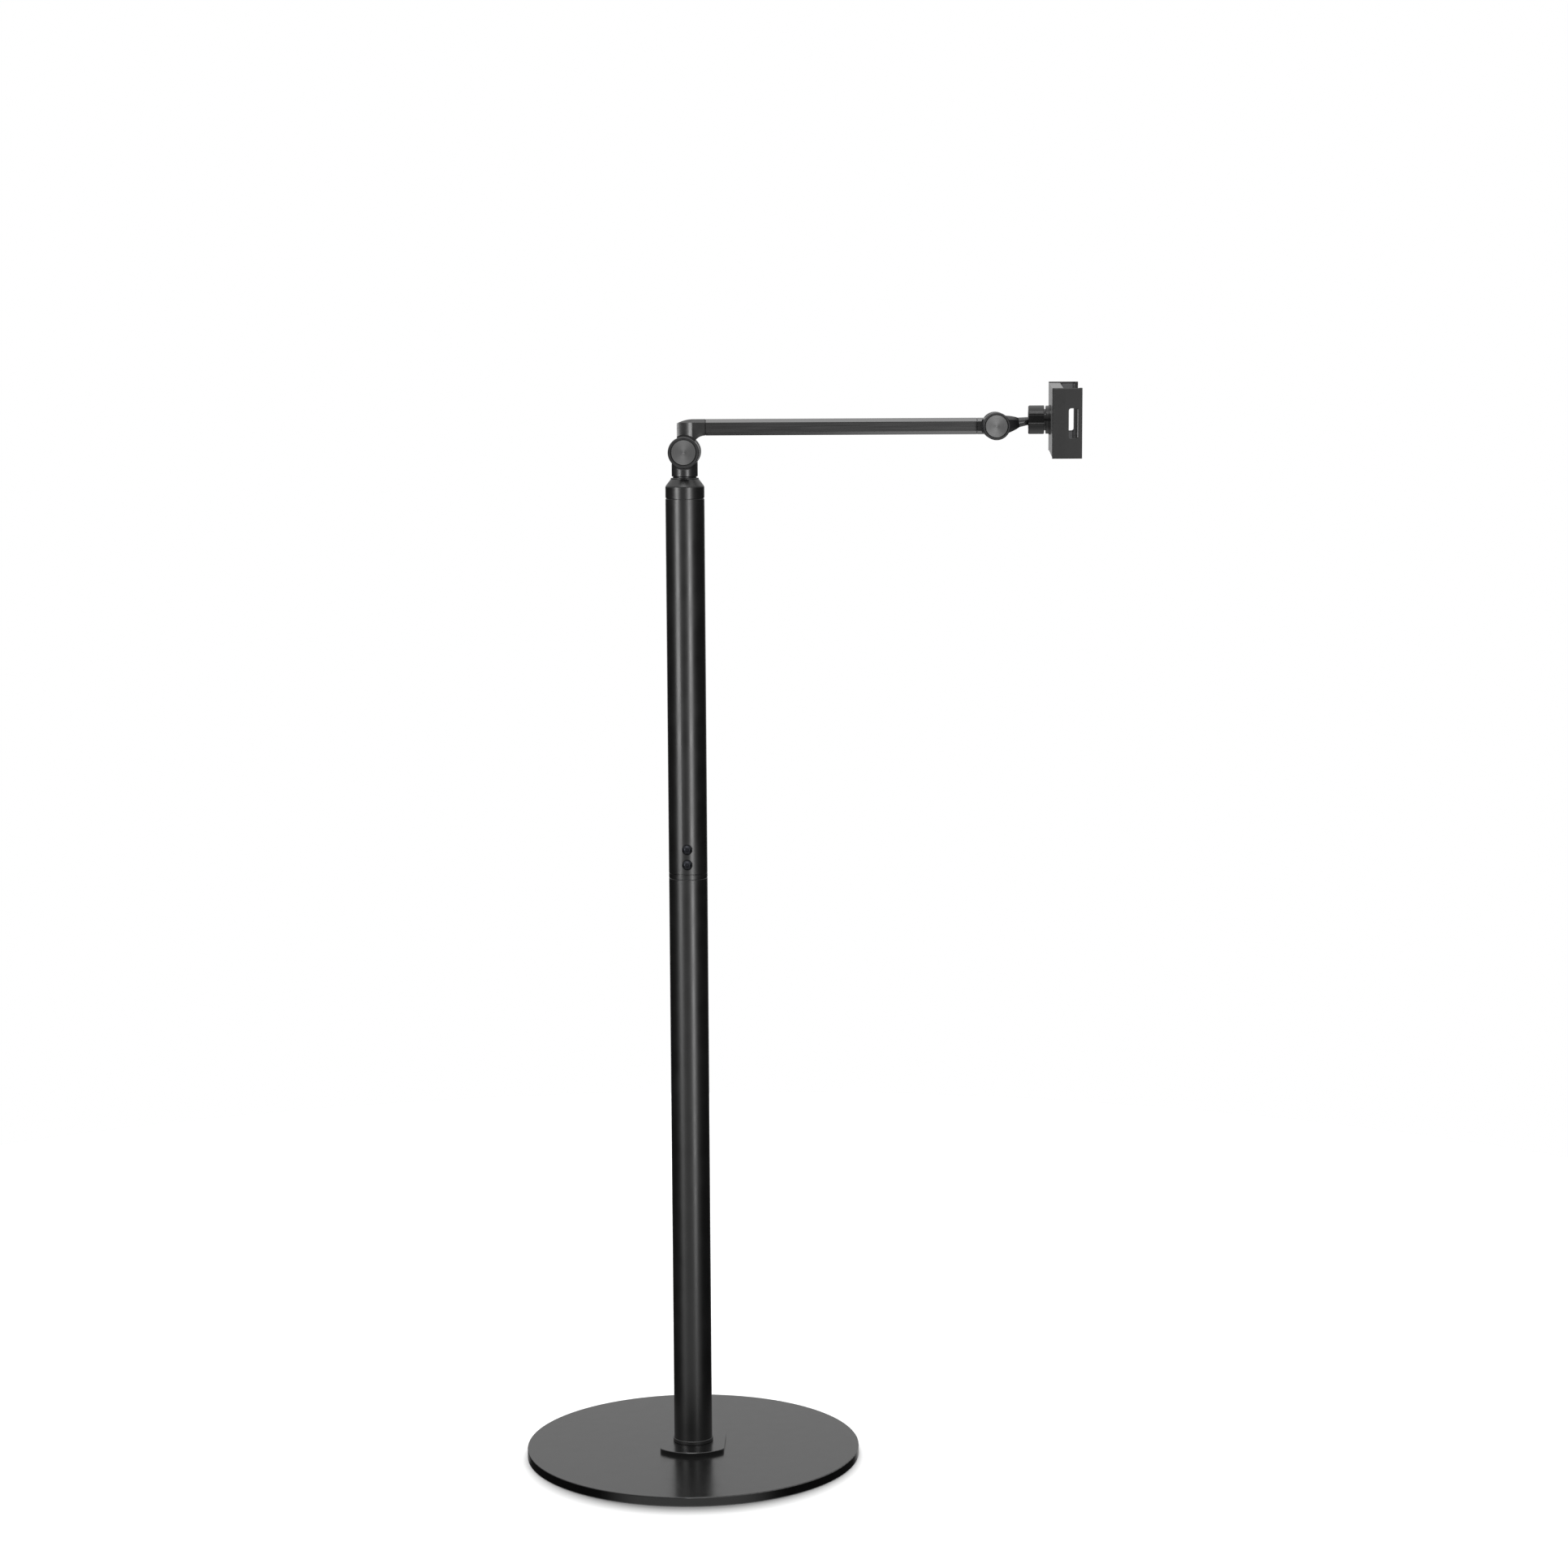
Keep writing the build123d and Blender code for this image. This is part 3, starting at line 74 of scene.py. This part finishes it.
# A painted contact shadow: the floor's colour is darker up to the first radius from this point,
# and white from the second on
FLOOR_PAINTED_SHADOW = "#8a8a8a"
FLOOR_PAINTED_SHADOW_CENTRE = (0.0, -0.03, 0.0)
FLOOR_PAINTED_SHADOW_RADIUS = 0.150
FLOOR_PAINTED_SHADOW_END_RADIUS = 0.186
SKY_SHADES = (
    # height of the direction above the horizon, from -1 to 1 drawn on 0 to 1, and its brightness
    (0.00, 1.20),
    (0.12, 0.50),
    (0.30, 0.02),
    (0.50, 0.02),
    (0.55, 0.20),
    (0.62, 0.70),
    (0.80, 1.10),
    (1.00, 2.00),
)
# The backdrop fades in where a direction points back this far, and the floor in front where one
# points forwards and down this far
BACKDROP_SHADE = 0.74
BACKDROP_FADE = (0.86, 0.95)
FORE_FLOOR_SHADE = 0.95
FORE_FLOOR_FADE = (-0.45, -0.75)
FORE_FLOOR_DROP = (-0.08, -0.24)
# Each soft light: its name, its angle from the front of the pole, its distance and height, the
# point that it is aimed at, its width and height, and its brightness. Lengths are in metres.
LEFT_STRIP = ("left_strip", -46, 6.0, 1.07, (0.0, 0.0, 1.07), (1.55, 2.41), 17.0)
RIGHT_STRIP = ("right_strip", 28, 6.0, 0.60, (0.0, 0.0, 0.60), (0.92, 3.26), 22.0)
HIGH_LIGHT = ("high_light", -8, 1.25, 3.40, (0.2, 0.0, 1.1), (1.0, 0.8), 7.0)
SHADED_FROM_STRIPS = ("base_plate", "pole_flange")


def grey(shade):
    """A linear grey of that brightness."""
    return (shade, shade, shade, 1.0)


def build_world():
    """White behind the stand for the camera. For all else, a soft sky that is bright overhead and
    straight below, dark at the sides, and bright again where the backdrop stands behind and where
    the floor lies in front."""
    world = bpy.data.worlds.new("studio")
    world.use_nodes = True
    tree = world.node_tree
    tree.nodes.clear()
    direction = add(tree, "ShaderNodeTexCoord")
    parts = add(tree, "ShaderNodeSeparateXYZ", links={"Vector": direction.outputs["Generated"]})
    height = add(
        tree,
        "ShaderNodeMapRange",
        {"From Min": -1.0, "From Max": 1.0},
        {"Value": parts.outputs["Z"]},
    )
    ramp = add(tree, "ShaderNodeValToRGB", links={"Fac": height.outputs["Result"]})
    stops = ramp.color_ramp.elements
    while len(stops) > 1:
        stops.remove(stops[-1])
    for place, shade in SKY_SHADES:
        stop = stops[0] if place == SKY_SHADES[0][0] else stops.new(place)
        stop.position = place
        stop.color = grey(shade)
    behind = add(
        tree,
        "ShaderNodeMapRange",
        {"From Min": BACKDROP_FADE[0], "From Max": BACKDROP_FADE[1]},
        {"Value": parts.outputs["Y"]},
    )
    backed = add(
        tree,
        "ShaderNodeMix",
        {"data_type": "RGBA", 7: grey(BACKDROP_SHADE)},
        {0: behind.outputs["Result"], 6: ramp.outputs["Color"]},
    )
    before = add(
        tree,
        "ShaderNodeMapRange",
        {"From Min": FORE_FLOOR_FADE[0], "From Max": FORE_FLOOR_FADE[1]},
        {"Value": parts.outputs["Y"]},
    )
    below = add(
        tree,
        "ShaderNodeMapRange",
        {"From Min": FORE_FLOOR_DROP[0], "From Max": FORE_FLOOR_DROP[1]},
        {"Value": parts.outputs["Z"]},
    )
    fore_floor = add(
        tree,
        "ShaderNodeMath",
        {"operation": "MULTIPLY"},
        {0: before.outputs["Result"], 1: below.outputs["Result"]},
    )
    shades = add(
        tree,
        "ShaderNodeMix",
        {"data_type": "RGBA", 7: grey(FORE_FLOOR_SHADE)},
        {0: fore_floor.outputs["Value"], 6: backed.outputs[2]},
    )
    sky = add(tree, "ShaderNodeBackground", {"Strength": 1.0}, {"Color": shades.outputs[2]})
    white = add(tree, "ShaderNodeBackground", {"Color": grey(1.0), "Strength": 1.0})
    ray = add(tree, "ShaderNodeLightPath")
    both = add(
        tree,
        "ShaderNodeMixShader",
        links={
            0: ray.outputs["Is Camera Ray"],
            1: sky.outputs["Background"],
            2: white.outputs["Background"],
        },
    )
    add(tree, "ShaderNodeOutputWorld", links={"Surface": both.outputs["Shader"]})
    bpy.context.scene.world = world


def build_floor():
    """A matt white floor that the stand leaves a soft contact shadow on, with a painted shadow in
    its colour in front of the base.
    """
    shape = bmesh.new()
    bmesh.ops.create_circle(shape, cap_ends=True, segments=FLOOR_SIDES, radius=FLOOR_RADIUS)
    mesh = bpy.data.meshes.new("studio_floor")
    shape.to_mesh(mesh)
    shape.free()
    floor = bpy.data.objects.new("studio_floor", mesh)
    bpy.context.scene.collection.objects.link(floor)
    paint = bpy.data.materials.new("matt white studio floor")
    paint.use_nodes = True
    shader = paint.node_tree.nodes["Principled BSDF"]
    # A painted contact shadow: the floor's colour is a little darker close in front of the base,
    # which softens the edge of its cast shadow
    where = add(paint.node_tree, "ShaderNodeTexCoord")
    away = add(
        paint.node_tree,
        "ShaderNodeVectorMath",
        {"operation": "DISTANCE", 1: FLOOR_PAINTED_SHADOW_CENTRE},
        {0: where.outputs["Object"]},
    )
    clear = add(
        paint.node_tree,
        "ShaderNodeMapRange",
        {"From Min": FLOOR_PAINTED_SHADOW_RADIUS, "From Max": FLOOR_PAINTED_SHADOW_END_RADIUS},
        {"Value": away.outputs["Value"]},
    )
    shade = add(
        paint.node_tree,
        "ShaderNodeMix",
        {"data_type": "RGBA", 6: linear(FLOOR_PAINTED_SHADOW), 7: linear(FLOOR_WHITE)},
        {0: clear.outputs["Result"]},
    )
    paint.node_tree.links.new(shade.outputs[2], shader.inputs["Base Color"])
    shader.inputs["Roughness"].default_value = 1.0
    shader.inputs["Specular IOR Level"].default_value = 0.0
    mesh.materials.append(paint)
    # The photograph's stand is cut out on white, so the floor neither shows in it nor lights it
    floor.visible_glossy = False
    floor.visible_diffuse = False


def soft_light(name, angle, distance, height, aim, size, brightness):
    """A rectangular soft light round the stand, turned towards the point that it is aimed at."""
    turn = math.radians(angle)
    place = (math.sin(turn) * distance, -math.cos(turn) * distance, height)
    lamp = bpy.data.lights.new(name, "AREA")
    lamp.shape = "RECTANGLE"
    lamp.size, lamp.size_y = size
    lamp.energy = brightness * math.pi * size[0] * size[1]
    light = bpy.data.objects.new(name, lamp)
    light.location = place
    light.rotation_euler = (Vector(aim) - Vector(place)).to_track_quat("-Z", "Y").to_euler()
    light.visible_camera = False
    bpy.context.scene.collection.objects.link(light)
    return light


def build_lights():
    """Two tall lights give the pole its pair of upright highlights, and one high in front lights
    the tops of the joints."""
    strips = [soft_light(*LEFT_STRIP), soft_light(*RIGHT_STRIP)]
    # Both are kept off the base and its flange, whose level tops would throw them back as glare
    shaded = bpy.data.collections.new("shaded_from_strips")
    for name in SHADED_FROM_STRIPS:
        shaded.objects.link(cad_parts[name])
    for piece in shaded.collection_objects:
        piece.light_linking.link_state = "EXCLUDE"
    for strip in strips:
        strip.light_linking.receiver_collection = shaded
    soft_light(*HIGH_LIGHT)


# Finishes

EVEN = (1.0, 1.0, 1.0)
CLOUD_DETAIL = 3.0
GRAIN_DETAIL = 2.0
# Nearly all values of a noise lie between these two
NOISE_SPAN = (0.3, 0.7)
# The two sizes of turned cap are 25.2 and 22.6 mm wide, about 24 mm. Feed marks of a facing cut
# are about 0.1 mm apart; they are drawn as rings of about 0.6 mm, so that they show
CAP_WIDTH = 24.0 * MM
RING_WIDTH = 0.6 * MM
CAP_MIDDLE = (0.5, 0.5, 0.5)
ACROSS_CAP = (1.0, 0.0, 1.0)
ALONG_ARM = (0.02, 1.0, 1.0)
ALONG_SLEEVE = (1.0, 1.0, 0.03)


def new_finish(name, settings):
    """A material whose even values stand on its shader's own sockets."""
    finish = bpy.data.materials.new(name)
    finish.use_nodes = True
    tree = finish.node_tree
    shader = tree.nodes["Principled BSDF"]
    for socket, value in settings.items():
        shader.inputs[socket].default_value = value
    return finish, tree, shader


def noise_on_part(tree, size, detail, stretch):
    """A noise of that size that stays put on the part, drawn out where stretch is below one."""
    where = add(tree, "ShaderNodeTexCoord")
    scaled = add(
        tree,
        "ShaderNodeVectorMath",
        {"operation": "MULTIPLY", 1: stretch},
        {0: where.outputs["Object"]},
    )
    noise = add(
        tree,
        "ShaderNodeTexNoise",
        {"Scale": 1 / size, "Detail": detail},
        {"Vector": scaled.outputs[0]},
    )
    return noise.outputs["Fac"]


def drift(tree, shader, pattern, low, high, roughness):
    """Lets colour and roughness drift along a pattern, between two shades and two values."""
    shade = add(
        tree,
        "ShaderNodeMix",
        {"data_type": "RGBA", 6: linear(low), 7: linear(high)},
        {0: pattern},
    )
    tree.links.new(shade.outputs[2], shader.inputs["Base Color"])
    ends = {
        "From Min": NOISE_SPAN[0],
        "From Max": NOISE_SPAN[1],
        "To Min": roughness[0],
        "To Max": roughness[1],
    }
    spread = add(tree, "ShaderNodeMapRange", ends, {"Value": pattern})
    tree.links.new(spread.outputs["Result"], shader.inputs["Roughness"])


def raise_pattern(tree, shader, pattern, height, strength=1.0):
    """Raises a pattern to that height on the surface."""
    bump = add(
        tree, "ShaderNodeBump", {"Strength": strength, "Distance": height}, {"Height": pattern}
    )
    tree.links.new(bump.outputs["Normal"], shader.inputs["Normal"])


def cloudy(tree, shader, size, low, high, roughness, stretch=EVEN):
    """Lets colour and roughness drift in clouds of that size."""
    clouds = noise_on_part(tree, size, CLOUD_DETAIL, stretch)
    drift(tree, shader, clouds, low, high, roughness)


def grained(tree, shader, size, height, detail=GRAIN_DETAIL, stretch=EVEN):
    """Raises a fine grain of that size and height on the surface."""
    raise_pattern(tree, shader, noise_on_part(tree, size, detail, stretch), height)


def textured_powder_coat():
    """Polyester powder sprayed on steel and baked. It cures to a fine even grain that dulls
    reflections seen from above and still mirrors the pole at a low angle."""
    finish, tree, shader = new_finish("textured polyester powder coat", {"IOR": 1.5})
    cloudy(tree, shader, 14 * MM, "#060606", "#0b0b0b", roughness=(0.20, 0.25))
    # The real grain is about 0.5 mm; it is drawn three times as coarse, so that it shows
    grained(tree, shader, 1.5 * MM, 0.012 * MM)
    return finish


def satin_powder_coat():
    """Satin black powder coat on a drawn steel tube, smooth, with a soft orange peel that widens
    the upright highlights."""
    finish, tree, shader = new_finish("satin powder coat", {"IOR": 1.5})
    cloudy(tree, shader, 25 * MM, "#040404", "#070707", roughness=(0.32, 0.38))
    grained(tree, shader, 2.5 * MM, 0.008 * MM)
    return finish


def painted_casting():
    """Die-cast zinc with a baked satin paint: even charcoal, with broad highlights on its rounds
    and a very slight pebble from the casting under it."""
    finish, tree, shader = new_finish("painted zinc die casting", {"IOR": 1.5})
    cloudy(tree, shader, 9 * MM, "#101011", "#161617", roughness=(0.32, 0.4))
    grained(tree, shader, 1.4 * MM, 0.010 * MM)
    return finish


def linished_casting():
    """Die-cast zinc linished before its paint, for the elbow: glossier than the other castings, so
    that its chamfers and its swelling sides throw broad light."""
    finish, tree, shader = new_finish(
        "linished painted zinc casting", {"IOR": 1.5, "Specular IOR Level": 0.65}
    )
    cloudy(tree, shader, 9 * MM, "#0a0a0a", "#101010", roughness=(0.31, 0.36))
    grained(tree, shader, 1.4 * MM, 0.005 * MM)
    return finish


def anodised_extrusion():
    """Aluminium extruded through a die, brushed along its length and anodised charcoal. Fine lines
    run along the arm, and its chamfers catch the light."""
    finish, tree, shader = new_finish(
        "charcoal anodised aluminium extrusion", {"Metallic": 1.0, "Anisotropic": 0.2}
    )
    cloudy(
        tree, shader, 1.2 * MM, "#636363", "#6b6b6b", roughness=(0.22, 0.26), stretch=ALONG_ARM
    )
    grained(tree, shader, 0.9 * MM, 0.002 * MM, stretch=ALONG_ARM)
    return finish


def turned_cap():
    """Aluminium faced on a lathe and anodised. Its rings throw the light into a cone that fans out
    from the middle."""
    finish, tree, shader = new_finish(
        "turned anodised aluminium", {"Metallic": 1.0, "Anisotropic": 0.45}
    )
    where = add(tree, "ShaderNodeTexCoord")
    centred = add(
        tree,
        "ShaderNodeVectorMath",
        {"operation": "SUBTRACT", 1: CAP_MIDDLE},
        {0: where.outputs["Generated"]},
    )
    flat = add(
        tree,
        "ShaderNodeVectorMath",
        {"operation": "MULTIPLY", 1: ACROSS_CAP},
        {0: centred.outputs[0]},
    )
    radius = add(tree, "ShaderNodeVectorMath", {"operation": "LENGTH"}, {0: flat.outputs[0]})
    rings = add(
        tree,
        "ShaderNodeTexNoise",
        {"noise_dimensions": "1D", "Scale": CAP_WIDTH / RING_WIDTH, "Detail": 0.0},
        {"W": radius.outputs["Value"]},
    ).outputs["Fac"]
    drift(tree, shader, rings, "#5a5a5a", "#686868", roughness=(0.38, 0.42))
    raise_pattern(tree, shader, rings, 0.01 * MM, strength=0.3)
    turning = add(tree, "ShaderNodeTangent", {"direction_type": "RADIAL", "axis": "Y"})
    tree.links.new(turning.outputs["Tangent"], shader.inputs["Tangent"])
    return finish


def black_oxide_steel():
    """Alloy steel screws, blackened in a hot bath and oiled: nearly black, with a soft glint."""
    finish, tree, shader = new_finish("black oxide steel", {"Metallic": 1.0})
    cloudy(tree, shader, 2 * MM, "#232427", "#35363a", roughness=(0.3, 0.42))
    grained(tree, shader, 0.6 * MM, 0.006 * MM)
    return finish


def polished_black_steel():
    """Ball stud turned from steel, polished and black plated: hard bright glints on black."""
    finish, tree, shader = new_finish(
        "polished black steel", {"IOR": 1.5, "Specular IOR Level": 0.6}
    )
    cloudy(tree, shader, 4 * MM, "#0a0a0b", "#111112", roughness=(0.24, 0.3))
    grained(tree, shader, 1.0 * MM, 0.002 * MM)
    return finish


def satin_plastic():
    """ABS moulded in a lightly blasted tool: satin black, a broad highlight on every lobe."""
    finish, tree, shader = new_finish(
        "satin moulded ABS", {"IOR": 1.53, "Specular IOR Level": 0.35}
    )
    cloudy(tree, shader, 6 * MM, "#050505", "#0a0a0a", roughness=(0.18, 0.23))
    grained(tree, shader, 0.9 * MM, 0.008 * MM)
    return finish


def shell_plastic():
    """ABS holder shells from the same kind of tool, a little more open in grain."""
    finish, tree, shader = new_finish("moulded ABS shell", {"IOR": 1.53})
    cloudy(tree, shader, 8 * MM, "#4b4b4b", "#575757", roughness=(0.3, 0.38))
    grained(tree, shader, 1.1 * MM, 0.012 * MM)
    return finish


def spark_textured_plastic():
    """ABS jaws moulded against a spark-eroded tool: matt, with an even pebble all over."""
    finish, tree, shader = new_finish(
        "spark-textured ABS", {"IOR": 1.53, "Specular IOR Level": 0.25}
    )
    cloudy(tree, shader, 5 * MM, "#121212", "#1c1c1c", roughness=(0.46, 0.56))
    # The real pebble is about 0.4 mm; it is drawn three times as coarse, so that it shows
    grained(tree, shader, 1.2 * MM, 0.02 * MM, detail=3.0)
    return finish


def soft_pad():
    """Silicone pads: soft, matt and a little dusty, with a faint sheen at a low angle."""
    finish, tree, shader = new_finish("moulded silicone pad", {"IOR": 1.41, "Sheen Weight": 0.15})
    cloudy(tree, shader, 7 * MM, "#3c3c3d", "#4a4a4b", roughness=(0.6, 0.75))
    grained(tree, shader, 1.0 * MM, 0.015 * MM)
    return finish


def mat_rubber():
    """Sheet rubber with an open, gritty grain that grips the floor."""
    finish, tree, shader = new_finish("sheet rubber", {"IOR": 1.52})
    cloudy(tree, shader, 5 * MM, "#121212", "#1e1e1f", roughness=(0.75, 0.9))
    grained(tree, shader, 1.5 * MM, 0.06 * MM)
    return finish


def zinc_plated_steel():
    """Steel fastenings and springs, zinc plated and passivated: pale grey, softly clouded."""
    finish, tree, shader = new_finish("zinc plated steel", {"Metallic": 1.0})
    cloudy(tree, shader, 3 * MM, "#a2a6aa", "#bcc0c4", roughness=(0.28, 0.4))
    grained(tree, shader, 0.8 * MM, 0.006 * MM)
    return finish


def drawn_steel():
    """Plain steel sleeve, drawn and oiled, with lines along its length."""
    finish, tree, shader = new_finish("drawn steel", {"Metallic": 1.0})
    cloudy(
        tree, shader, 1.0 * MM, "#7c7f83", "#95989c", roughness=(0.3, 0.42), stretch=ALONG_SLEEVE
    )
    grained(tree, shader, 0.8 * MM, 0.008 * MM, stretch=ALONG_SLEEVE)
    return finish


def bearing_plastic():
    """Acetal bushes and liners: slick, waxy black that rubs to a soft shine."""
    finish, tree, shader = new_finish("moulded acetal", {"IOR": 1.48})
    cloudy(tree, shader, 4 * MM, "#151617", "#1d1e1f", roughness=(0.32, 0.42))
    grained(tree, shader, 1.2 * MM, 0.006 * MM)
    return finish


def dress_nodes():
    """Gives each part of the stand the finish that its material slot stands for."""
    finishes = {
        "base_coat": textured_powder_coat(),
        "pole_coat": satin_powder_coat(),
        "cast_coat": painted_casting(),
        "arm_anodised": anodised_extrusion(),
        "cap_turned": turned_cap(),
        "black_screw": black_oxide_steel(),
        "ball_black": polished_black_steel(),
        "nut_plastic": satin_plastic(),
        "shell_plastic": shell_plastic(),
        "jaw_plastic": spark_textured_plastic(),
        "soft_pad": soft_pad(),
        "mat_rubber": mat_rubber(),
        "zinc_steel": zinc_plated_steel(),
        "sleeve_steel": drawn_steel(),
        "bearing_plastic": bearing_plastic(),
    }
    # The fittings at the arm's ends differ from the other castings: the elbow is linished, and the
    # end fitting is anodised like the arm
    fittings = {"elbow": linished_casting(), "arm_end": finishes["arm_anodised"]}
    for name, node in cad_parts.items():
        for slot in node.material_slots:
            slot.material = fittings.get(name, finishes[slot.material.name])


set_camera()
build_world()
build_floor()
build_lights()
dress_nodes()
bpy.context.scene.view_settings.view_transform = "Standard"
